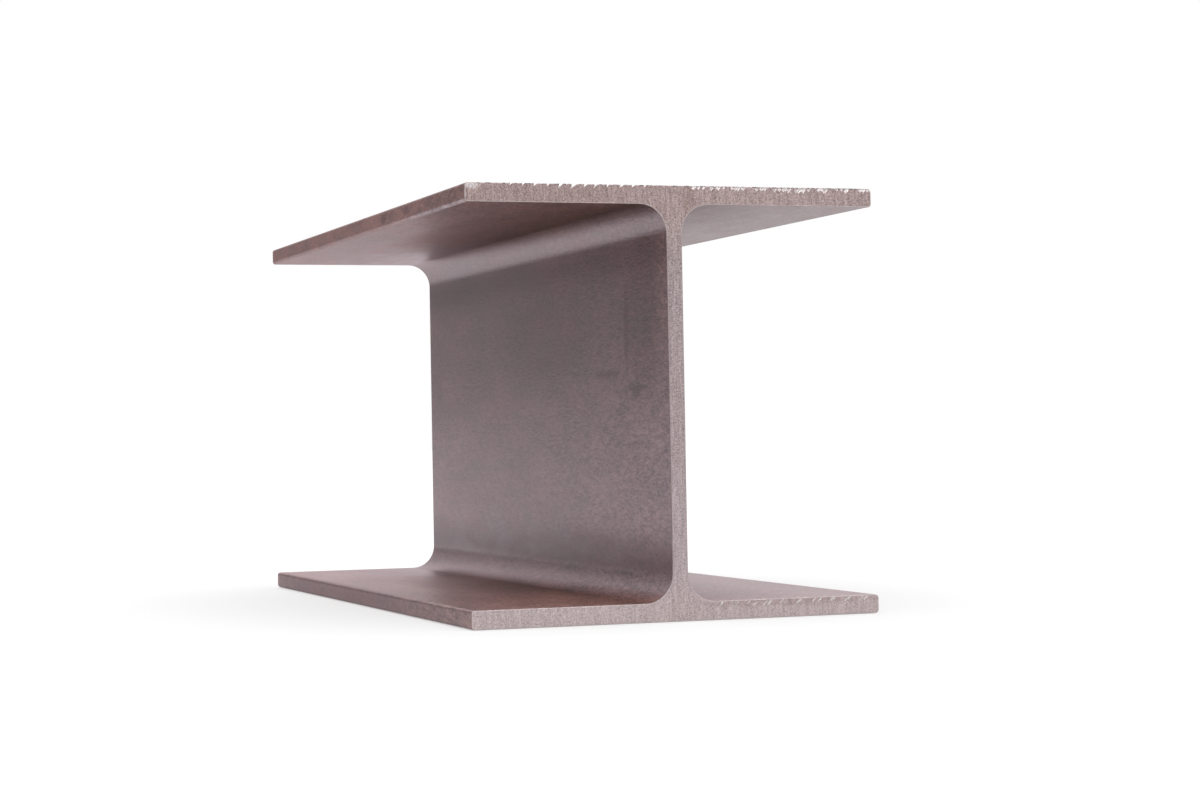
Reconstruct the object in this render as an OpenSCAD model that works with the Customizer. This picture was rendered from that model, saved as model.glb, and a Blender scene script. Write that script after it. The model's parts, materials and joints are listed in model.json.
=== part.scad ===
// Short sawn length of a hot-rolled wide-flange steel beam.
// The section stands in the XZ plane and the beam runs along Y. The origin is on the floor,
// midway along the beam and under the middle of the web.

/* [Rolled section] */
// Depth of the section, from the outside of one flange to the outside of the other
depth = 152; // [100:1:400]
// Width of both flanges
flange_w = 152; // [80:1:400]
// Thickness of both flanges
flange_t = 6.6; // [4:0.1:25]
// Thickness of the web
web_t = 5.8; // [3:0.1:20]
// Radius of the fillets where the web runs into the flanges
root_r = 10; // [2:0.5:30]
// Radius that rolling leaves on the long edges of the flange tips
toe_r = 1.2; // [0.2:0.1:1.8]

/* [Cut length] */
// Length between the two sawn ends
length = 305; // [50:1:6000]

/* [Hidden] */
$fn = 64;
// Bare steel under reddish-grey mill scale
mill_scale = [0.45, 0.39, 0.38];

// Flange plate lying on the section's base line, with its four tip edges rounded
module flange_outline() {
  core_w = flange_w - 2 * toe_r;
  core_t = flange_t - 2 * toe_r;
  translate([-core_w / 2, 0]) square([core_w, flange_t]);
  translate([-flange_w / 2, toe_r]) square([flange_w, core_t]);
  for (side = [-1, 1], edge = [toe_r, flange_t - toe_r])
    translate([side * core_w / 2, edge]) circle(r = toe_r);
}

// Concave corner between the web and a flange, with the sharp corner at the origin.
// It laps to the middle of both plates, so that the three run into each other.
module root_fillet() {
  lap = [web_t, flange_t] / 2;
  difference() {
    translate(-lap) square([root_r, root_r] + lap);
    translate([root_r, root_r]) circle(r = root_r);
  }
}

// One flange with the root fillets on both sides of the web
module flange_with_roots() {
  flange_outline();
  for (side = [0, 1])
    mirror([side, 0]) translate([web_t / 2, flange_t]) root_fillet();
}

// Whole section: a web that ends in the middle of both flanges, and the flanges, one of them turned over
module rolled_section() {
  translate([-web_t / 2, flange_t / 2]) square([web_t, depth - flange_t]);
  flange_with_roots();
  translate([0, depth]) mirror([0, 1]) flange_with_roots();
}

// The beam, rolled as one piece and sawn square at both ends
module i_beam() {
  color(mill_scale)
    rotate([90, 0, 0])
      linear_extrude(height = length, center = true) rolled_section();
}

i_beam();
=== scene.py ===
# %% [markdown]
# # A sawn length of rolled steel beam
#
# The real thing is one piece of steel. It left the rolling mill red hot as a long wide-flange
# section, cooled under a skin of dark mill scale, and was sawn to a short length. This lesson models
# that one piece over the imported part, gives the rolled skin and the sawn ends their own finishes, and
# sets it in a plain white studio.
#
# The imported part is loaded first. It is a fixed frame, in metres, that nothing here moves. The sizes
# could all be typed in again, but those that the frame knows are read from it, so that the modelled
# piece can't drift away from the part.

# %% Load the frame and read the sizes
import json
import math
import random

import bmesh
import bpy
from mathutils import Matrix, Vector


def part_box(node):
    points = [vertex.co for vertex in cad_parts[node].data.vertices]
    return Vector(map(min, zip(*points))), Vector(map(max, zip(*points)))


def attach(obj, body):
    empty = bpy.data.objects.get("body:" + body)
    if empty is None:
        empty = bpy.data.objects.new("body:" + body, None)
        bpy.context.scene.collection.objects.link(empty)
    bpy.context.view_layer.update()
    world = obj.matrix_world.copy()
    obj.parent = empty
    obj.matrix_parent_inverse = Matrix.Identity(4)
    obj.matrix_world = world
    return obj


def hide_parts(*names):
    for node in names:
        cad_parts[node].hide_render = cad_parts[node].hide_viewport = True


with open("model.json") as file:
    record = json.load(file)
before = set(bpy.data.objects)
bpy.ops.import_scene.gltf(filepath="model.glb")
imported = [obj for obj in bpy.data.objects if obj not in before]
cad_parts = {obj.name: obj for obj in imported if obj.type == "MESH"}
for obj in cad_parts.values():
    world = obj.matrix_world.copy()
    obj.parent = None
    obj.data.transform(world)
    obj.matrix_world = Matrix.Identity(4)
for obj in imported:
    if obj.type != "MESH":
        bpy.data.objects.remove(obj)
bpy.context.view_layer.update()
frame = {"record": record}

NODE = "i_beam"
low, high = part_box(NODE)
FLANGE_W = high.x - low.x
LENGTH = high.y - low.y
DEPTH = high.z - low.z
mounts = {mount["name"]: mount for mount in frame["record"]["mounts"]}
WEB_T = 2 * mounts["web_right_face"]["pos_m"][0]
FRONT_Y = -LENGTH / 2
print(f"beam {FLANGE_W:.3f} wide, {DEPTH:.3f} deep, {LENGTH:.3f} long, web {WEB_T:.4f} m")

# %% [markdown]
# ## The camera
#
# The photograph was taken from low down in front of the beam, a little to its left, with a long lens.
# A camera could be aimed at the beam by eye, but then every edge would be a few pixels out. Here its
# place, its three turns and its focal length were solved from the corners of the section, and they
# come first so that every later step can be compared with the photograph.

# %% Place the camera
FRAME_WIDTH_PX = 1200
FOCAL_PX = 2561.9
SENSOR_MM = 36.0
CAMERA_PLACE = (-0.32386, -0.98538, 0.06364)
CAMERA_TURN = math.radians(-19.520)
CAMERA_TILT = math.radians(0.893)
CAMERA_ROLL = math.radians(-1.034)
LEVEL = math.radians(90)

aim = (
    Matrix.Rotation(CAMERA_TURN, 3, "Z")
    @ Matrix.Rotation(LEVEL + CAMERA_TILT, 3, "X")
    @ Matrix.Rotation(CAMERA_ROLL, 3, "Z")
)
bpy.ops.object.camera_add(location=CAMERA_PLACE, rotation=aim.to_euler())
camera = bpy.context.object
camera.data.sensor_width = SENSOR_MM
camera.data.lens = SENSOR_MM * FOCAL_PX / FRAME_WIDTH_PX
bpy.context.scene.camera = camera
print(f"camera with a {camera.data.lens:.1f} mm lens")

# %% [markdown]
# ## Picking faces and edges
#
# Modelling by hand is a loop of two moves: select something, then run an operator on it. A mouse
# isn't there in a script, so this helper selects by place and direction instead. Loading the frame
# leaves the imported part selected, and an operator acts on all that is selected, so each piece starts
# from an empty selection.


# %% Two helpers for selecting
def start_fresh():
    """Deselect every object, so that the next operator acts on the new piece alone."""
    bpy.ops.object.select_all(action="DESELECT")


def pick(piece, kind, wanted):
    """In edit mode, select the FACE or EDGE items whose place and direction pass a test."""
    bpy.ops.mesh.select_mode(type=kind)
    bpy.ops.mesh.select_all(action="DESELECT")
    mesh = bmesh.from_edit_mesh(piece.data)
    picked = 0
    for item in mesh.faces if kind == "FACE" else mesh.edges:
        if kind == "FACE":
            place, way = item.calc_center_median(), item.normal
        else:
            first, last = (vertex.co for vertex in item.verts)
            place, way = (first + last) / 2, (last - first).normalized()
        if wanted(place, way):
            item.select_set(True)
            picked += 1
    bmesh.update_edit_mesh(piece.data)
    return picked


# %% [markdown]
# ## The web and the flanges
#
# The section is a thin upright web between two wide flanges. It could be drawn as an outline and
# pushed along its length, but growing it from a plate shows how the parts relate: the web plate is a
# cube at its full size, two cuts mark where the flanges begin, and the side faces of the end blocks
# are pulled out to the flange tips. The leftover lines on flat faces are then dissolved, so that each
# sawn end is one clean face in the shape of the section.

# %% Grow the section from the web plate
FLANGE_T = 0.0066
ALIGNED = 0.9
SAME_PLANE = math.radians(1)

start_fresh()
bpy.ops.mesh.primitive_cube_add(size=1, location=(0, 0, DEPTH / 2), scale=(WEB_T, LENGTH, DEPTH))
beam = bpy.context.object
beam.name = "rolled_beam"
bpy.ops.object.transform_apply(location=True, rotation=True, scale=True)

bpy.ops.object.mode_set(mode="EDIT")
for height in (FLANGE_T, DEPTH - FLANGE_T):
    bpy.ops.mesh.select_all(action="SELECT")
    bpy.ops.mesh.bisect(plane_co=(0, 0, height), plane_no=(0, 0, 1))

overhang = (FLANGE_W - WEB_T) / 2
for side in (-1, 1):
    grown = pick(
        beam,
        "FACE",
        lambda place, way: way.x * side > ALIGNED and abs(place.z - DEPTH / 2) > DEPTH / 2 - FLANGE_T,
    )
    bpy.ops.mesh.extrude_region_move(TRANSFORM_OT_translate={"value": (side * overhang, 0, 0)})
    print(f"pulled {grown} flange faces out to x = {side * FLANGE_W / 2:.3f}")

bpy.ops.mesh.select_all(action="SELECT")
bpy.ops.mesh.dissolve_limited(angle_limit=SAME_PLANE)
bpy.ops.object.mode_set(mode="OBJECT")
print(f"section has {len(beam.data.polygons)} faces")

# %% [markdown]
# ## Root fillets and flange toes
#
# Rolls can't leave a sharp inside corner, so the web runs into each flange in a round root, and the
# flange tips have small round toes. Both are bevels of the long edges: a bevel of an inside edge adds
# steel, and one of an outside edge takes it away. A bevel on the finished section keeps the radii true
# along the whole length, which a hand-drawn outline would only approximate.

# %% Round the roots and the toes
ROOT_R = 0.010
ROOT_STEPS = 20
TOE_R = 0.0012
TOE_STEPS = 6
TOUCH = 1e-5
ROUND = 0.5


def runs_along(way):
    """True for an edge that runs along the beam."""
    return abs(way.y) > ALIGNED


def near(value, *targets):
    """True where a length is within a hair of one of the targets."""
    return any(abs(value - target) < TOUCH for target in targets)


bpy.ops.object.mode_set(mode="EDIT")
roots = pick(
    beam,
    "EDGE",
    lambda place, way: runs_along(way)
    and near(abs(place.x), WEB_T / 2)
    and near(place.z, FLANGE_T, DEPTH - FLANGE_T),
)
bpy.ops.mesh.bevel(
    offset_type="OFFSET", offset=ROOT_R, segments=ROOT_STEPS, profile=ROUND, affect="EDGES"
)
toes = pick(beam, "EDGE", lambda place, way: runs_along(way) and near(abs(place.x), FLANGE_W / 2))
bpy.ops.mesh.bevel(
    offset_type="OFFSET", offset=TOE_R, segments=TOE_STEPS, profile=ROUND, affect="EDGES"
)
bpy.ops.object.mode_set(mode="OBJECT")
print(f"rounded {roots} root edges and {toes} toe edges, {len(beam.data.polygons)} faces")

# %% [markdown]
# ## Four finishes
#
# Four kinds of surface show on the beam: the rolled skin, the sawn ends, the fine burr that the saw
# leaves round the outline of each end, and the bright facets where its teeth caught an edge. Each gets a
# material now, and its nodes come later. The first three get slots on the beam while their faces are
# easy to find by their direction, and the facets take theirs from the cutters.
# The burr could be painted as a line, but a narrow bevel turns to the light as the real one does, and
# that is what draws the thin light line round the section.

# %% Break the sawn outlines and give three surfaces their slots
BURR = 0.0003
BURR_STEPS = 2

mill_scale = bpy.data.materials.new("mill_scale")
sawn_steel = bpy.data.materials.new("sawn_steel")
burred_steel = bpy.data.materials.new("burred_steel")
chipped_steel = bpy.data.materials.new("chipped_steel")
for finish in (mill_scale, sawn_steel, burred_steel):
    beam.data.materials.append(finish)

bpy.ops.object.mode_set(mode="EDIT")
pick(beam, "FACE", lambda place, way: abs(way.y) > ALIGNED)
beam.active_material_index = beam.data.materials.find(sawn_steel.name)
bpy.ops.object.material_slot_assign()
outline = pick(
    beam, "EDGE", lambda place, way: near(abs(place.y), LENGTH / 2) and not runs_along(way)
)
bpy.ops.mesh.bevel(
    offset_type="OFFSET",
    offset=BURR,
    segments=BURR_STEPS,
    profile=ROUND,
    affect="EDGES",
    material=beam.data.materials.find(burred_steel.name),
)
bpy.ops.mesh.select_all(action="SELECT")
bpy.ops.mesh.normals_make_consistent(inside=False)
bpy.ops.object.mode_set(mode="OBJECT")
print(f"broke {outline} outline edges, {len(beam.data.polygons)} faces")

# %% [markdown]
# ## Nicks of the saw teeth
#
# Where the blade first bit, its teeth left a comb of slanted notches along the top edge of the front
# end and clusters of bright chips further along it, and where it came out they left fine ticks on the
# upper edge of the bottom flange. They could be painted, but they notch the outline and catch the light
# on facets of their own, so they are cut. One cutter is a three-sided prism, whose sharp side ploughs
# a V that leans with the blade's travel. A long prism that climbs into the steel opens the outline, and
# a short one that lies along the face only scratches it.

# %% Model one nick cutter
PRISM_SIDES = 3
ON_EDGE = math.radians(-90)


def nick_cutter(tip, width, height, run, climb, lean):
    """Add one prism whose sharp side starts at the tip, climbs out of the level and leans over."""
    turn = Matrix.Rotation(lean, 3, "Y") @ Matrix.Rotation(ON_EDGE + climb, 3, "X")
    tip_from_middle = Vector((0, height, -run / 2))
    bpy.ops.mesh.primitive_cylinder_add(
        vertices=PRISM_SIDES,
        radius=1,
        depth=1,
        location=tip - turn @ tip_from_middle,
        rotation=turn.to_euler(),
        scale=(width, height, run),
    )
    return bpy.context.object


# %% [markdown]
# The cutters stand in rows, each with its own pitch, group and size. A row of equal copies would look
# machined, so each copy draws its own place, size and lean from one seeded stream, which gives the same
# nicks on every run. The nicks of a row also swell towards its middle, as they do where a blade settles
# into its cut and then clears it.

# %% Write the step that stands one row of cutters
NICK_SEED = 11
LEAN_SPREAD = 7
PITCH_SPREAD = 0.10
SIZE_SPREAD = 0.25
END_SIZE = 0.6
draw = random.Random(NICK_SEED)
cutters = []


def vary(spread):
    """Draw a number between minus and plus the spread."""
    return draw.uniform(-spread, spread)


def stand_row(
    label, arris, span, pitch, drop, sink, width, height, run, climb, lean, group=1, spacing=0.0
):
    """Stand groups of cutters a drop below an arris and a sink into the face. Angles in degrees."""
    count = int((span[1] - span[0]) / pitch) + 1
    for number in range(count):
        swell = END_SIZE + (1 - END_SIZE) * math.sin(math.pi * (number + 0.5) / count)
        for member in range(group):
            x = span[0] + (number + vary(PITCH_SPREAD)) * pitch + member * spacing
            size = swell * (1 + vary(SIZE_SPREAD))
            tip = Vector((x, FRONT_Y + sink * size, arris - drop * size))
            leant = math.radians(lean + vary(LEAN_SPREAD))
            cutters.append(
                nick_cutter(tip, width * size, height * size, run * size, math.radians(climb), leant)
            )
    print(f"{label}: {count * group} nicks")


# %% [markdown]
# Two rows lie on the top edge. On its left half the teeth bit deep, a tooth's pitch apart, and opened
# the outline into a comb. On its right half they only grazed the face and left clusters of chips.

# %% Stand the rows on the top edge
start_fresh()
stand_row(
    "comb",
    DEPTH,
    span=(-0.0603, -0.0095),
    pitch=0.00445,
    drop=0.0019,
    sink=-0.0015,
    width=0.0010,
    height=0.0020,
    run=0.0110,
    climb=20,
    lean=32,
)
stand_row(
    "chips",
    DEPTH,
    span=(0.0063, 0.0715),
    pitch=0.0081,
    drop=0.0014,
    sink=0.0006,
    width=0.0011,
    height=0.0008,
    run=0.0014,
    climb=90,
    lean=38,
    group=5,
    spacing=0.0010,
)

# %% [markdown]
# Two finer rows lie on the upper edge of the bottom flange: pairs of slanted ticks on the right, and
# single specks on the left.

# %% Stand the rows on the bottom flange
stand_row(
    "ticks",
    FLANGE_T,
    span=(0.0125, 0.0705),
    pitch=0.0062,
    drop=0.0019,
    sink=0.0005,
    width=0.0008,
    height=0.0008,
    run=0.0024,
    climb=90,
    lean=50,
    group=2,
    spacing=0.0016,
)
stand_row(
    "specks",
    FLANGE_T,
    span=(-0.0680, -0.0150),
    pitch=0.0038,
    drop=0.0010,
    sink=0.0004,
    width=0.0007,
    height=0.0008,
    run=0.0007,
    climb=90,
    lean=40,
)

# %% [markdown]
# One Boolean takes all the cutters away at once. They are joined first, and the facets take the
# material of the cutter that made them, so the chipped finish needs no selecting afterwards.

# %% Cut the nicks
start_fresh()
for cutter in cutters:
    cutter.select_set(True)
bpy.context.view_layer.objects.active = cutters[0]
bpy.ops.object.join()
teeth = bpy.context.object
teeth.data.materials.append(chipped_steel)

start_fresh()
beam.select_set(True)
bpy.context.view_layer.objects.active = beam
bpy.ops.object.modifier_add(type="BOOLEAN")
cut = beam.modifiers[-1]
cut.operation = "DIFFERENCE"
cut.solver = "EXACT"
cut.use_self = True
cut.material_mode = "TRANSFER"
cut.object = teeth
bpy.ops.object.modifier_apply(modifier=cut.name)
bpy.data.objects.remove(teeth)
print(f"cut {len(cutters)} nicks, {len(beam.data.polygons)} faces")

# %% [markdown]
# ## Smooth rounds and crisp edges
#
# The roots and toes are many narrow strips that should shade as one curve, while the sawn outline and
# the nicks should stay crisp. Smoothing by angle does both. The weighted normal modifier then lets the
# wide flat faces rule the shading at their borders, so that no gradient creeps across them.

# %% Shade the beam
CRISP = math.radians(30)

bpy.ops.object.shade_smooth_by_angle(angle=CRISP)
bpy.ops.object.modifier_add(type="WEIGHTED_NORMAL")
beam.modifiers[-1].keep_sharp = True
bpy.ops.object.modifier_apply(modifier=beam.modifiers[-1].name)
print(f"shaded {len(beam.data.polygons)} faces in {len(beam.data.materials)} finishes")

# %% [markdown]
# ## Small helpers for node work
#
# A node tree is a list of nodes and the wires between them. Setting each one up takes the same four
# lines every time, so one helper adds a node, sets its options, and sets or wires its inputs.


# %% Helpers for nodes and groups
def add_node(tree, kind, inputs=None, **options):
    """Add a shader node. An input value that is a socket is wired, and any other is typed in."""
    made = tree.nodes.new("ShaderNode" + kind)
    for name, value in options.items():
        setattr(made, name, value)
    for name, value in (inputs or {}).items():
        if isinstance(value, bpy.types.NodeSocket):
            tree.links.new(value, made.inputs[name])
        else:
            made.inputs[name].default_value = value
    return made


def new_group(name, inputs, output):
    """Start a node group with named inputs and one value output, and return it with its two ends."""
    tree = bpy.data.node_groups.new(name, "ShaderNodeTree")
    for label, kind in inputs.items():
        tree.interface.new_socket(label, in_out="INPUT", socket_type="NodeSocket" + kind)
    tree.interface.new_socket(output, in_out="OUTPUT", socket_type="NodeSocketFloat")
    return tree, tree.nodes.new("NodeGroupInput").outputs, tree.nodes.new("NodeGroupOutput").inputs


def use_group(tree, group, **inputs):
    """Place a node group in a material and return its output socket."""
    return add_node(tree, "Group", inputs, node_tree=group).outputs[0]


def blend(tree, amount, first, second):
    """Mix two colours by an amount and return the colour socket."""
    made = add_node(tree, "Mix", {"Factor": amount, 6: first, 7: second}, data_type="RGBA")
    return made.outputs[2]


def math_node(tree, operation, first, second=0.0):
    """Do one sum and return the value socket."""
    return add_node(tree, "Math", {0: first, 1: second}, operation=operation).outputs[0]


def ramp(tree, value, low_in, high_in, low_out=0.0, high_out=1.0):
    """Map a value from one range to another, held at both ends, and return the socket."""
    made = add_node(
        tree,
        "MapRange",
        {"Value": value, 1: low_in, 2: high_in, 3: low_out, 4: high_out},
    )
    return made.outputs[0]


# %% [markdown]
# ## Effects that the finishes share
#
# Steel looks like steel because of what breaks up its surface: grain, fine lines that run one way, and
# smudges that lie in one place. All three show on the rolled skin and on the sawn ends at different
# sizes, so each is a node group that is built once. They read the object's own coordinates, in metres,
# so a size that is typed in is a real size on the beam.

# %% Build the grain, line and smudge groups
NOISE_SPAN = (0.3, 0.7)
GRAIN_DETAIL = 2.0
LINE_DETAIL = 3.0
CLOUD_DETAIL = 4.0
CLOUDS_PER_M = 260.0
NOISE_MEAN = 0.5
# Shares of a smudge's reach at which it starts to fade and is gone
SMUDGE_FADE = (0.55, 1.1)

grain, ins, outs = new_group("grain", {"Place": "Vector", "Size": "Float"}, "Grain")
finer = math_node(grain, "DIVIDE", 1.0, ins["Size"])
cells = add_node(grain, "TexNoise", {"Vector": ins["Place"], "Scale": finer, "Detail": GRAIN_DETAIL})
grain.links.new(ramp(grain, cells.outputs[0], *NOISE_SPAN), outs[0])

lines, ins, outs = new_group("lines", {"Place": "Vector", "Spacing": "Vector"}, "Lines")
drawn = add_node(lines, "VectorMath", {0: ins["Place"], 1: ins["Spacing"]}, operation="DIVIDE")
strands = add_node(
    lines, "TexNoise", {"Vector": drawn.outputs[0], "Scale": 1.0, "Detail": LINE_DETAIL}
)
lines.links.new(ramp(lines, strands.outputs[0], *NOISE_SPAN), outs[0])

smudge, ins, outs = new_group(
    "smudge", {"Place": "Vector", "Centre": "Vector", "Reach": "Vector", "Ragged": "Float"}, "Mask"
)
offset = add_node(smudge, "VectorMath", {0: ins["Place"], 1: ins["Centre"]}, operation="SUBTRACT")
share = add_node(
    smudge, "VectorMath", {0: offset.outputs[0], 1: ins["Reach"]}, operation="DIVIDE"
)
away = add_node(smudge, "VectorMath", {0: share.outputs[0]}, operation="LENGTH").outputs["Value"]
cloud = add_node(
    smudge, "TexNoise", {"Vector": ins["Place"], "Scale": CLOUDS_PER_M, "Detail": CLOUD_DETAIL}
)
torn = math_node(smudge, "SUBTRACT", cloud.outputs[0], NOISE_MEAN)
torn = math_node(smudge, "MULTIPLY", torn, ins["Ragged"])
smudge.links.new(ramp(smudge, math_node(smudge, "ADD", away, torn), *SMUDGE_FADE, 1.0, 0.0), outs[0])
print("groups:", ", ".join(group.name for group in bpy.data.node_groups))

# %% [markdown]
# ## Mill scale
#
# The rolled skin is iron oxide: dark and brown when it is looked at squarely, and pale where the white
# room glances off it. A full metal would shine from every side, so this is a dielectric with a high
# index, whose shine grows towards a low angle, and only a share of metal. The skin isn't one colour.
# The web is a purplish grey that pales towards its foot, in bands that are a painted reflection of the
# bright floor, with a dark band of painted shade just off each root. The corners are nearly black with
# painted shade, and the flanges turn redder with rust towards their tips, the lower one paler than the
# upper as painted light. The channel on the right gets only a share of the painted corner shade and of
# the rust, so its corners and flanges stay nearer to the web.
# Each outer face has one colour all over. The colours could be painted on by hand, but here each change
# is a ramp over one of the beam's own lengths, so it lies where that length says.

# %% Colour the skin by where it lies
WEB_SCALE = (0.150, 0.084, 0.083, 1)
WEB_PAINTED_REFLECTION = (0.214, 0.139, 0.145, 1)
ROOT_PAINTED_SHADE = (0.066, 0.026, 0.024, 1)
CORNER_PAINTED_SHADE = (0.090, 0.048, 0.027, 1)
FLANGE_SCALE = (0.216, 0.108, 0.086, 1)
OUTER_SCALE = (0.150, 0.104, 0.098, 1)
# The lower flange's rust colour is paler than the upper one's as painted light.
LOWER_RUST_AND_LIGHT = (0.224, 0.140, 0.124, 1)
# Share of the left channel's painted corner shade and rust that the right one has
RIGHT_SHARE = 0.28
# Distances from mid-web at which its colour ends, the corners' painted shade is full and the flanges'
# rust is full
WEB_END = 0.0044
CORNER_FULL = 0.0128
RUST_FULL = 0.057
# Heights on the web, and the colour at each of them. The pale stops are a painted reflection of the
# bright floor, and the dark root stops are painted shade.
WEB_STOPS = (
    (0.013, WEB_PAINTED_REFLECTION),
    (0.019, ROOT_PAINTED_SHADE),
    (0.034, WEB_PAINTED_REFLECTION),
    (0.050, WEB_PAINTED_REFLECTION),
    (0.095, WEB_SCALE),
    (0.115, WEB_SCALE),
    (0.131, ROOT_PAINTED_SHADE),
    (0.139, WEB_SCALE),
    (0.151, OUTER_SCALE),
)


def start_material(material):
    """Empty a material and return its tree, its shader and the place on the piece, in metres."""
    material.use_nodes = True
    tree = material.node_tree
    tree.nodes.clear()
    shader = add_node(tree, "BsdfPrincipled")
    add_node(tree, "OutputMaterial", {"Surface": shader.outputs[0]})
    return tree, shader, add_node(tree, "TexCoord").outputs["Object"]


def colour_stops(tree, share, stops):
    """Place a colour ramp over the beam's height, from stops in metres, and return its colour."""
    made = add_node(tree, "ValToRGB", {0: share})
    made.color_ramp.interpolation = "EASE"
    ready = len(made.color_ramp.elements)
    for number, (height, colour) in enumerate(stops):
        if number < ready:
            stop = made.color_ramp.elements[number]
            stop.position = height / DEPTH
        else:
            stop = made.color_ramp.elements.new(height / DEPTH)
        stop.color = colour
    return made.outputs[0]


tree, shader, place = start_material(mill_scale)
parts = add_node(tree, "SeparateXYZ", {0: place}).outputs
from_web = math_node(tree, "ABSOLUTE", parts["X"])
from_middle = math_node(tree, "ABSOLUTE", math_node(tree, "SUBTRACT", parts["Z"], DEPTH / 2))
inside = ramp(tree, from_middle, DEPTH / 2 - TOE_R, DEPTH / 2, 1.0, 0.0)
sided = ramp(tree, parts["X"], -WEB_END, WEB_END, 1.0, RIGHT_SHARE)
shade_and_rust = math_node(tree, "MULTIPLY", sided, inside)
# The corners take a nearly black colour that is painted shade.
cornered = math_node(tree, "MULTIPLY", ramp(tree, from_web, WEB_END, CORNER_FULL), shade_and_rust)
rusted = math_node(tree, "MULTIPLY", ramp(tree, from_web, CORNER_FULL, RUST_FULL), shade_and_rust)
web = colour_stops(tree, math_node(tree, "DIVIDE", parts["Z"], DEPTH), WEB_STOPS)
skin = blend(tree, cornered, web, CORNER_PAINTED_SHADE)
# The lower flange's paler colour is painted light.
flange = blend(tree, ramp(tree, parts["Z"], FLANGE_T, DEPTH / 2), LOWER_RUST_AND_LIGHT, FLANGE_SCALE)
skin = blend(tree, rusted, skin, flange)
print(f"{mill_scale.name}: coloured by place, {len(tree.nodes)} nodes")

# %% [markdown]
# How the skin shines changes with the place as well. The corners hold the smoothest scale, which mirrors
# the room at the rear of the beam, and they turn dull towards the front end, where it was handled most.
# The web and the flanges lie in between, and the outer faces are dull all over, because a beam is
# dragged and stacked on them. The ramps that placed the colours place the shine too.

# %% Let the skin shine by where it lies
SCALE_SHEEN = (1.0, 0.78, 0.90, 1)
SCALE_IOR = 2.03
WEB_METAL = 0.11
CORNER_METAL = 0.57
FLANGE_METAL = 0.36
WEB_ROUGH = 0.35
CORNER_ROUGH = 0.30
FLANGE_ROUGH = 0.42
OUTER_ROUGH = 0.65
# What the corners' roughness gains towards the front, and where along the beam that starts and is full
CORNER_DULL = 0.41
DULL_START = 0.09
DULL_FULL = 0.0


def from_web_out(tree, cornered, rusted, web, corner, flange):
    """Run a value from the web over the corners to the flanges, and return its socket."""
    inner = ramp(tree, cornered, 0.0, 1.0, web, corner)
    return math_node(tree, "ADD", inner, ramp(tree, rusted, 0.0, 1.0, 0.0, flange - corner))


rough = from_web_out(tree, cornered, rusted, WEB_ROUGH, CORNER_ROUGH, FLANGE_ROUGH)
rough = math_node(tree, "ADD", rough, ramp(tree, inside, 0.0, 1.0, OUTER_ROUGH - WEB_ROUGH, 0.0))
corner_band = math_node(tree, "SUBTRACT", cornered, rusted)
dull = math_node(
    tree, "MULTIPLY", corner_band, ramp(tree, parts["Y"], DULL_START, DULL_FULL, 0.0, CORNER_DULL)
)
rough = math_node(tree, "ADD", rough, dull)
metal = from_web_out(tree, cornered, rusted, WEB_METAL, CORNER_METAL, FLANGE_METAL)
tree.links.new(metal, shader.inputs["Metallic"])
shader.inputs["IOR"].default_value = SCALE_IOR
shader.inputs["Specular Tint"].default_value = SCALE_SHEEN
print(f"{mill_scale.name}: shines by place, {len(tree.nodes)} nodes")

# %% [markdown]
# Handling and the weather left marks of their own, and a few more are painted light and shade. On the
# web a broad dark smudge lies near the sawn end, with a small hook-shaped stain below it and fainter
# marks further in, among them a dark band low on the web that is painted shade, and its front edge has
# rusty specks. On the flanges there are two spots on the top one's tip, a dark tip on the lower one, a
# painted shade along the root in the right channel, and a rust-red patch on the front left of the bottom
# flange that is also painted light. The lower toe of the top flange has a painted highlight towards the
# sawn end. They could be painted into a picture, but each is one smudge with a centre, a reach and a
# strength in its own colour, so it can be moved by its numbers. The rusty specks are a smudge in the
# flanges' colour that grain breaks up.

# %% Lay the marks on the skin
SCALE_DARK = (0.055, 0.012, 0.008, 1)
FOOT_RUST_AND_LIGHT = (0.400, 0.185, 0.140, 1)
# A light colour painted on a toe as a highlight.
TOE_HIGHLIGHT = (0.330, 0.285, 0.290, 1)
WEB_SKIN = -WEB_T / 2
TIP_SKIN = -FLANGE_W / 2
SKIN_DEEP = 0.004
RUST_CENTRE = (WEB_SKIN, FRONT_Y, 0.118)
RUST_REACH = (SKIN_DEEP, 0.014, 0.026)
RUST_RAGGED = 0.8
RUST_SPECK = 0.0012
RUST_BREAK = (0.4, 0.8)
RUST_SHARE = 0.9
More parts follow.
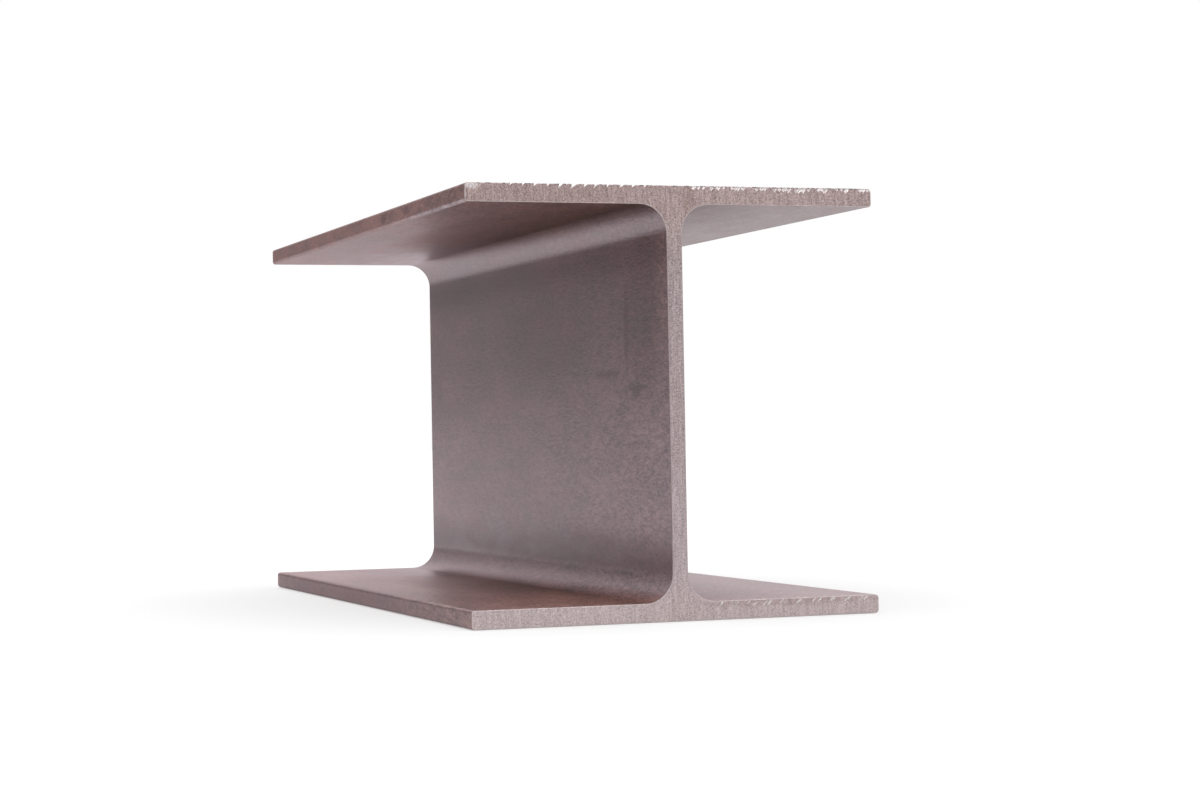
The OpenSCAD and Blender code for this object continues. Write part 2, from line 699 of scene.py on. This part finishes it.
# Centre, reach and ragged edge of each mark, its strength and its colour
MARKS = {
    # The foot patch is rust red and also paints light on the front of the bottom flange.
    "rust and painted light foot": ((-0.035, -0.145, FLANGE_T), (0.040, 0.095, 0.005), 0.8, 0.36, FOOT_RUST_AND_LIGHT),
    "smudge": ((WEB_SKIN, -0.126, 0.108), (SKIN_DEEP, 0.022, 0.032), 0.8, 0.52, SCALE_DARK),
    "smudge edge": ((WEB_SKIN, -0.110, 0.104), (SKIN_DEEP, 0.0030, 0.016), 0.5, 0.80, SCALE_DARK),
    "hook": ((WEB_SKIN, -0.120, 0.0822), (SKIN_DEEP, 0.009, 0.0017), 1.2, 0.90, SCALE_DARK),
    "hook tail": ((WEB_SKIN, -0.119, 0.0805), (SKIN_DEEP, 0.004, 0.0022), 1.2, 0.80, SCALE_DARK),
    "stain": ((WEB_SKIN, -0.088, 0.088), (SKIN_DEEP, 0.014, 0.0019), 1.6, 0.65, SCALE_DARK),
    "middle": ((WEB_SKIN, -0.015, 0.104), (SKIN_DEEP, 0.060, 0.022), 1.2, 0.40, SCALE_DARK),
    # The low band is painted shade, a dark reflection of the shadowed floor.
    "low painted shade band": ((WEB_SKIN, -0.060, 0.024), (SKIN_DEEP, 0.080, 0.006), 1.0, 0.35, SCALE_DARK),
    "front spot": ((TIP_SKIN, -0.077, 0.149), (SKIN_DEEP, 0.005, 0.002), 0.5, 0.60, SCALE_DARK),
    "rear spot": ((TIP_SKIN, -0.044, 0.149), (SKIN_DEEP, 0.005, 0.002), 0.5, 0.60, SCALE_DARK),
    "low tip": ((TIP_SKIN, 0.030, 0.0033), (SKIN_DEEP, 0.130, 0.010), 0.6, 0.50, SCALE_DARK),
    "right root": ((0.011, 0.0, 0.1390), (0.013, 0.400, 0.011), 0.5, 0.60, SCALE_DARK),
    # The toe highlight is a painted highlight along the top flange's lower toe.
    "toe highlight": ((TIP_SKIN, FRONT_Y, DEPTH - FLANGE_T), (0.0012, 0.110, 0.0012), 0.6, 0.8, TOE_HIGHLIGHT),
}


def lay_smudge(tree, place, under, over, centre, reach, ragged, strength):
    """Lay one colour over another inside a smudge, and return the colour socket."""
    mask = use_group(tree, smudge, Place=place, Centre=centre, Reach=reach, Ragged=ragged)
    return blend(tree, math_node(tree, "MULTIPLY", mask, strength), under, over)


specks = use_group(tree, grain, Place=place, Size=RUST_SPECK)
specks = ramp(tree, specks, *RUST_BREAK, 0.0, RUST_SHARE)
skin = lay_smudge(tree, place, skin, FLANGE_SCALE, RUST_CENTRE, RUST_REACH, RUST_RAGGED, specks)
for centre, reach, ragged, strength, colour in MARKS.values():
    skin = lay_smudge(tree, place, skin, colour, centre, reach, ragged, strength)
print(f"{mill_scale.name}: a rusty edge and {len(MARKS)} other marks")

# %% [markdown]
# Last come the textures that lie all over the skin. Rolling drew the scale out, so the mottles and the
# fine flecks are three times as long along the beam as they are across it. They add up to one tone
# around 1 that the colour is multiplied by, so the mean colour stays as it was typed in. The flecks sway
# it most towards the front end, where the skin was scuffed most. The finest of them and faint streaks
# along the beam are a bump as well, because loose scale has a tooth that takes the polish off the shine.

# %% Mottle the skin and give it a tooth
ROLLED_OUT = (1.0, 0.35, 1.0)
# Size of each texture, and how far it sways the tone
MOTTLES = ((0.022, 0.35), (0.007, 0.42))
FLECKS = ((0.0017, 0.70), (0.0008, 0.90))
MOTTLE_DULL = 0.03
SCUFF_START = 0.0
SCUFF_FULL = -0.13
SCUFF_LEAST = 0.5
STREAK_SPACING = (0.004, 0.150, 0.004)
STREAK_SHARE = 0.5
SCALE_TOOTH = 0.25
TOOTH_DEPTH = 0.0001

drawn_out = add_node(tree, "VectorMath", {0: place, 1: ROLLED_OUT}, operation="MULTIPLY").outputs[0]
scuffed = ramp(tree, parts["Y"], SCUFF_START, SCUFF_FULL, SCUFF_LEAST, 1.0)
tone = 1.0
for size, sway in MOTTLES:
    mottle = use_group(tree, grain, Place=drawn_out, Size=size)
    tone = math_node(tree, "ADD", tone, ramp(tree, mottle, 0.0, 1.0, -sway / 2, sway / 2))
for size, sway in FLECKS:
    fleck = use_group(tree, grain, Place=drawn_out, Size=size)
    swayed = math_node(tree, "MULTIPLY", ramp(tree, fleck, 0.0, 1.0, -sway / 2, sway / 2), scuffed)
    tone = math_node(tree, "ADD", tone, swayed)
toned = add_node(tree, "VectorMath", {0: skin, "Scale": tone}, operation="SCALE")
tree.links.new(toned.outputs[0], shader.inputs["Base Color"])
dulled = math_node(tree, "ADD", ramp(tree, mottle, 0.0, 1.0, -MOTTLE_DULL, MOTTLE_DULL), rough)
tree.links.new(dulled, shader.inputs["Roughness"])
streak = use_group(tree, lines, Place=place, Spacing=STREAK_SPACING)
relief = math_node(tree, "ADD", fleck, math_node(tree, "MULTIPLY", streak, STREAK_SHARE))
bumps = add_node(
    tree, "Bump", {"Height": relief, "Strength": SCALE_TOOTH, "Distance": TOOTH_DEPTH}
)
tree.links.new(bumps.outputs[0], shader.inputs["Normal"])
print(f"{mill_scale.name}: {len(tree.nodes)} nodes")

# %% [markdown]
# ## Sawn steel
#
# The blade leaves bare steel with a fine sparkling grain and faint upright score lines. Its colour is
# darker and its grain stronger towards the top, and it is lighter and smoother towards the foot, where
# the lighter colour is painted light. It is a metal, so its colour is the colour of its reflection, and
# it is rough enough to spread the light evenly. The grain sways the tone of the colour and goes into a
# bump too, because a bump alone fades from afar.

# %% Make the sawn steel
# Heights on the sawn end, and the colour at each of them, which lightens towards the foot as painted
# light
SAWN_STOPS = (
    (0.004, (0.480, 0.400, 0.405, 1)),
    (0.022, (0.415, 0.350, 0.360, 1)),
    (0.075, (0.370, 0.302, 0.310, 1)),
    (0.115, (0.352, 0.293, 0.300, 1)),
    (0.146, (0.369, 0.290, 0.285, 1)),
)
SPARKLE_SIZE = 0.0006
DUST_SIZE = 0.0004
SCORE_SPACING = (0.0007, 0.010, 0.008)
SAWN_SWAY = {"sparkle": 0.55, "dust": 0.45, "score": 0.32}
# Strength of the grain at the foot and at the top
SAWN_GRAIN = (0.7, 1.1)

tree, shader, place = start_material(sawn_steel)
height = add_node(tree, "SeparateXYZ", {0: place}).outputs["Z"]
bare = colour_stops(tree, math_node(tree, "DIVIDE", height, DEPTH), SAWN_STOPS)
textures = {
    "sparkle": use_group(tree, grain, Place=place, Size=SPARKLE_SIZE),
    "dust": use_group(tree, grain, Place=place, Size=DUST_SIZE),
    "score": use_group(tree, lines, Place=place, Spacing=SCORE_SPACING),
}
tone = 0.0
for label, texture in textures.items():
    sway = SAWN_SWAY[label]
    tone = math_node(tree, "ADD", tone, ramp(tree, texture, 0.0, 1.0, -sway / 2, sway / 2))
grained = math_node(tree, "MULTIPLY", tone, ramp(tree, height, 0.0, DEPTH, *SAWN_GRAIN))
print(f"{sawn_steel.name}: {len(SAWN_STOPS)} heights and {len(textures)} textures")

# %% [markdown]
# A few stains lie on the sawn front: the dull patch where the blade went in, a brown streak above the
# web and a tan one below it, and the strip under the ticks. One corner was scuffed bright, and brown
# specks lie all over it. They are smudges and grain again, laid over the bare steel before its tone is
# swayed, so that the grain runs through the stains as it does on a real cut.

# %% Stain the sawn front
SAWN_STAIN = (0.250, 0.170, 0.150, 1)
SAWN_SCUFF = (0.660, 0.620, 0.630, 1)
# Centre, reach and ragged edge of each stain, its strength and its colour
STAINS = {
    "entry": ((-0.050, FRONT_Y, DEPTH), (0.050, 0.020, 0.030), 0.6, 0.22, SAWN_STAIN),
    "streak": ((0.006, FRONT_Y, 0.147), (0.003, 0.010, 0.007), 0.8, 0.35, SAWN_STAIN),
    "foot": ((0.002, FRONT_Y, 0.004), (0.009, 0.010, 0.009), 1.2, 0.10, SAWN_STAIN),
    "strip": ((0.042, FRONT_Y, 0.0056), (0.036, 0.010, 0.0018), 0.8, 0.30, SAWN_STAIN),
    "corner": ((-0.0742, FRONT_Y, 0.1512), (0.0034, 0.010, 0.0018), 1.4, 0.70, SAWN_SCUFF),
}
BROWN_SPECK = 0.0007
BROWN_BREAK = (0.55, 0.9)
BROWN_SHARE = 0.35
SAWN_ROUGH = (0.40, 0.60)
SAWN_TOOTH = 0.4

for centre, reach, ragged, strength, colour in STAINS.values():
    bare = lay_smudge(tree, place, bare, colour, centre, reach, ragged, strength)
brown = use_group(tree, grain, Place=place, Size=BROWN_SPECK)
bare = blend(tree, ramp(tree, brown, *BROWN_BREAK, 0.0, BROWN_SHARE), bare, SAWN_STAIN)
tone_of_one = math_node(tree, "ADD", grained, 1.0)
toned = add_node(tree, "VectorMath", {0: bare, "Scale": tone_of_one}, operation="SCALE")
tree.links.new(toned.outputs[0], shader.inputs["Base Color"])
shader.inputs["Metallic"].default_value = 1.0
tree.links.new(ramp(tree, textures["sparkle"], 0.0, 1.0, *SAWN_ROUGH), shader.inputs["Roughness"])
bumps = add_node(tree, "Bump", {"Height": tone, "Strength": SAWN_TOOTH, "Distance": TOOTH_DEPTH})
tree.links.new(bumps.outputs[0], shader.inputs["Normal"])
print(f"{sawn_steel.name}: {len(STAINS)} stains, {len(tree.nodes)} nodes")

# %% [markdown]
# ## Chipped and burred steel
#
# The facets of the nicks were torn last, so they are the brightest steel on the beam. The burr is
# duller, a thin light line round the flanges that fades along the web, and on the top edge it still
# holds dark crumbs of scale that the teeth dragged over it. Both are torn metal with a fine sparkle, so
# one function lays that base, and the burr then gets its crumbs.

# %% Make the chipped and the burred steel
CHIP_BRIGHT = (0.920, 0.900, 0.900, 1)
CHIP_DULL = (0.680, 0.630, 0.630, 1)
CHIP_ROUGH = (0.25, 0.42)
BURR_BRIGHT = (0.560, 0.490, 0.490, 1)
BURR_DULL = (0.420, 0.345, 0.345, 1)
BURR_ROUGH = (0.50, 0.70)
BURR_WEB = (0.350, 0.290, 0.295, 1)
PATCH_SIZE = 0.0016
# Distances from mid-depth between which the burr's colour runs from the web's to the flanges'
WEB_SPAN = (0.055, 0.065)
CRUMB = (0.070, 0.052, 0.055, 1)
CRUMB_SIZE = 0.0011
CRUMB_BREAK = (0.45, 0.75)
# Heights between which the crumbs set in
CRUMB_EDGE = (DEPTH - 0.0010, DEPTH - 0.0002)


def torn_steel(material, bright, dull, roughness):
    """Fill a material with sparkling torn steel, and return its tree, shader, place and colour."""
    tree, shader, place = start_material(material)
    patches = use_group(tree, grain, Place=place, Size=PATCH_SIZE)
    sparkle = use_group(tree, grain, Place=place, Size=SPARKLE_SIZE)
    shader.inputs["Metallic"].default_value = 1.0
    tree.links.new(ramp(tree, sparkle, 0.0, 1.0, *roughness), shader.inputs["Roughness"])
    colour = blend(tree, patches, bright, dull)
    tree.links.new(colour, shader.inputs["Base Color"])
    print(f"{material.name}: {len(tree.nodes)} nodes")
    return tree, shader, place, colour


torn_steel(chipped_steel, CHIP_BRIGHT, CHIP_DULL, CHIP_ROUGH)
tree, shader, place, colour = torn_steel(burred_steel, BURR_BRIGHT, BURR_DULL, BURR_ROUGH)
height = add_node(tree, "SeparateXYZ", {0: place}).outputs["Z"]
from_middle = math_node(tree, "ABSOLUTE", math_node(tree, "SUBTRACT", height, DEPTH / 2))
colour = blend(tree, ramp(tree, from_middle, *WEB_SPAN, 1.0, 0.0), colour, BURR_WEB)
crumbs = ramp(tree, use_group(tree, grain, Place=place, Size=CRUMB_SIZE), *CRUMB_BREAK)
crumbs = math_node(tree, "MULTIPLY", crumbs, ramp(tree, height, *CRUMB_EDGE))
tree.links.new(blend(tree, crumbs, colour, CRUMB), shader.inputs["Base Color"])

# %% [markdown]
# ## The white studio
#
# The photograph has a plain white ground. The floor is a sheet of pale paper that takes the beam's
# shadow. Paper that is only lit would come out grey, and a brighter lamp would bleach the steel, so the
# floor also glows a little, but only to the camera and to reflections, and throws no light of its own.

# %% Build the floor
FLOOR_SIZE = 40.0
FLOOR_GAP = 0.0002
FLOOR_COLOUR = (0.55, 0.55, 0.55, 1)
FLOOR_LIFT = 0.42
WHITE = (1, 1, 1, 1)


def seen_ray(tree):
    """Return a socket that is 1 for rays from the camera, from a reflection or through glass."""
    light_path = add_node(tree, "LightPath").outputs
    seen = math_node(tree, "MAXIMUM", light_path["Is Camera Ray"], light_path["Is Glossy Ray"])
    return math_node(tree, "MAXIMUM", seen, light_path["Is Transmission Ray"])


start_fresh()
bpy.ops.mesh.primitive_plane_add(size=FLOOR_SIZE, location=(0, 0, -FLOOR_GAP))
floor = bpy.context.object
floor.name = "studio_floor"
paper = bpy.data.materials.new("studio_paper")
floor.data.materials.append(paper)
paper.use_nodes = True
tree = paper.node_tree
tree.nodes.clear()
matt = add_node(tree, "BsdfDiffuse", {"Color": FLOOR_COLOUR})
lift = math_node(tree, "MULTIPLY", seen_ray(tree), FLOOR_LIFT)
glow = add_node(tree, "Emission", {"Color": WHITE, "Strength": lift})
both = add_node(tree, "AddShader", {0: matt.outputs[0], 1: glow.outputs[0]})
add_node(tree, "OutputMaterial", {"Surface": both.outputs[0]})
print(f"floor {FLOOR_SIZE} m wide, {FLOOR_GAP} m under the beam")

# %% [markdown]
# The world is white to the camera. To everything else it has one dim side, low on the left behind the
# beam, because no room is white all round, and smooth scale shows what stands there. The light that the
# world throws on the steel is kept at a plain level, and a broad lamp overhead gives the scene its
# direction. A card could stand in for the dim side, but it would throw a shadow on the floor.

# %% Build the world and the lamp
AMBIENT = 0.40
# Direction of the dim side, and the cosines of the angles from it at which it is full and gone
DARK_SIDE = (-0.780, 0.540, -0.317)
DARK_CORE = math.cos(math.radians(19))
DARK_RIM = math.cos(math.radians(72))
DARK_LEVEL = 0.008
LAMP_HEIGHT = 2
SUN_STRENGTH = 2.77
SUN_SPREAD = math.radians(120)

world = bpy.data.worlds.new("white_studio")
bpy.context.scene.world = world
world.use_nodes = True
tree = world.node_tree
tree.nodes.clear()
looking = add_node(tree, "TexCoord").outputs["Generated"]
toward = add_node(tree, "VectorMath", {0: looking, 1: DARK_SIDE}, operation="DOT_PRODUCT")
room = ramp(tree, toward.outputs["Value"], DARK_RIM, DARK_CORE, 1.0, DARK_LEVEL)
room = math_node(tree, "MAXIMUM", room, add_node(tree, "LightPath").outputs["Is Camera Ray"])
level = math_node(tree, "MULTIPLY", ramp(tree, seen_ray(tree), 0.0, 1.0, AMBIENT, 1.0), room)
sky = add_node(tree, "Background", {"Color": WHITE, "Strength": level})
add_node(tree, "OutputWorld", {"Surface": sky.outputs[0]})

bpy.ops.object.light_add(type="SUN", location=(0, 0, LAMP_HEIGHT))
lamp = bpy.context.object
lamp.name = "overhead_light"
lamp.data.energy = SUN_STRENGTH
lamp.data.angle = SUN_SPREAD
bpy.context.scene.view_settings.view_transform = "Standard"
print(f"ambient {AMBIENT}, overhead {SUN_STRENGTH} W/m2")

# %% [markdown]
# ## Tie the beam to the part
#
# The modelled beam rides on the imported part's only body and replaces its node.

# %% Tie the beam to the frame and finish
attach(beam, "root")
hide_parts(NODE)
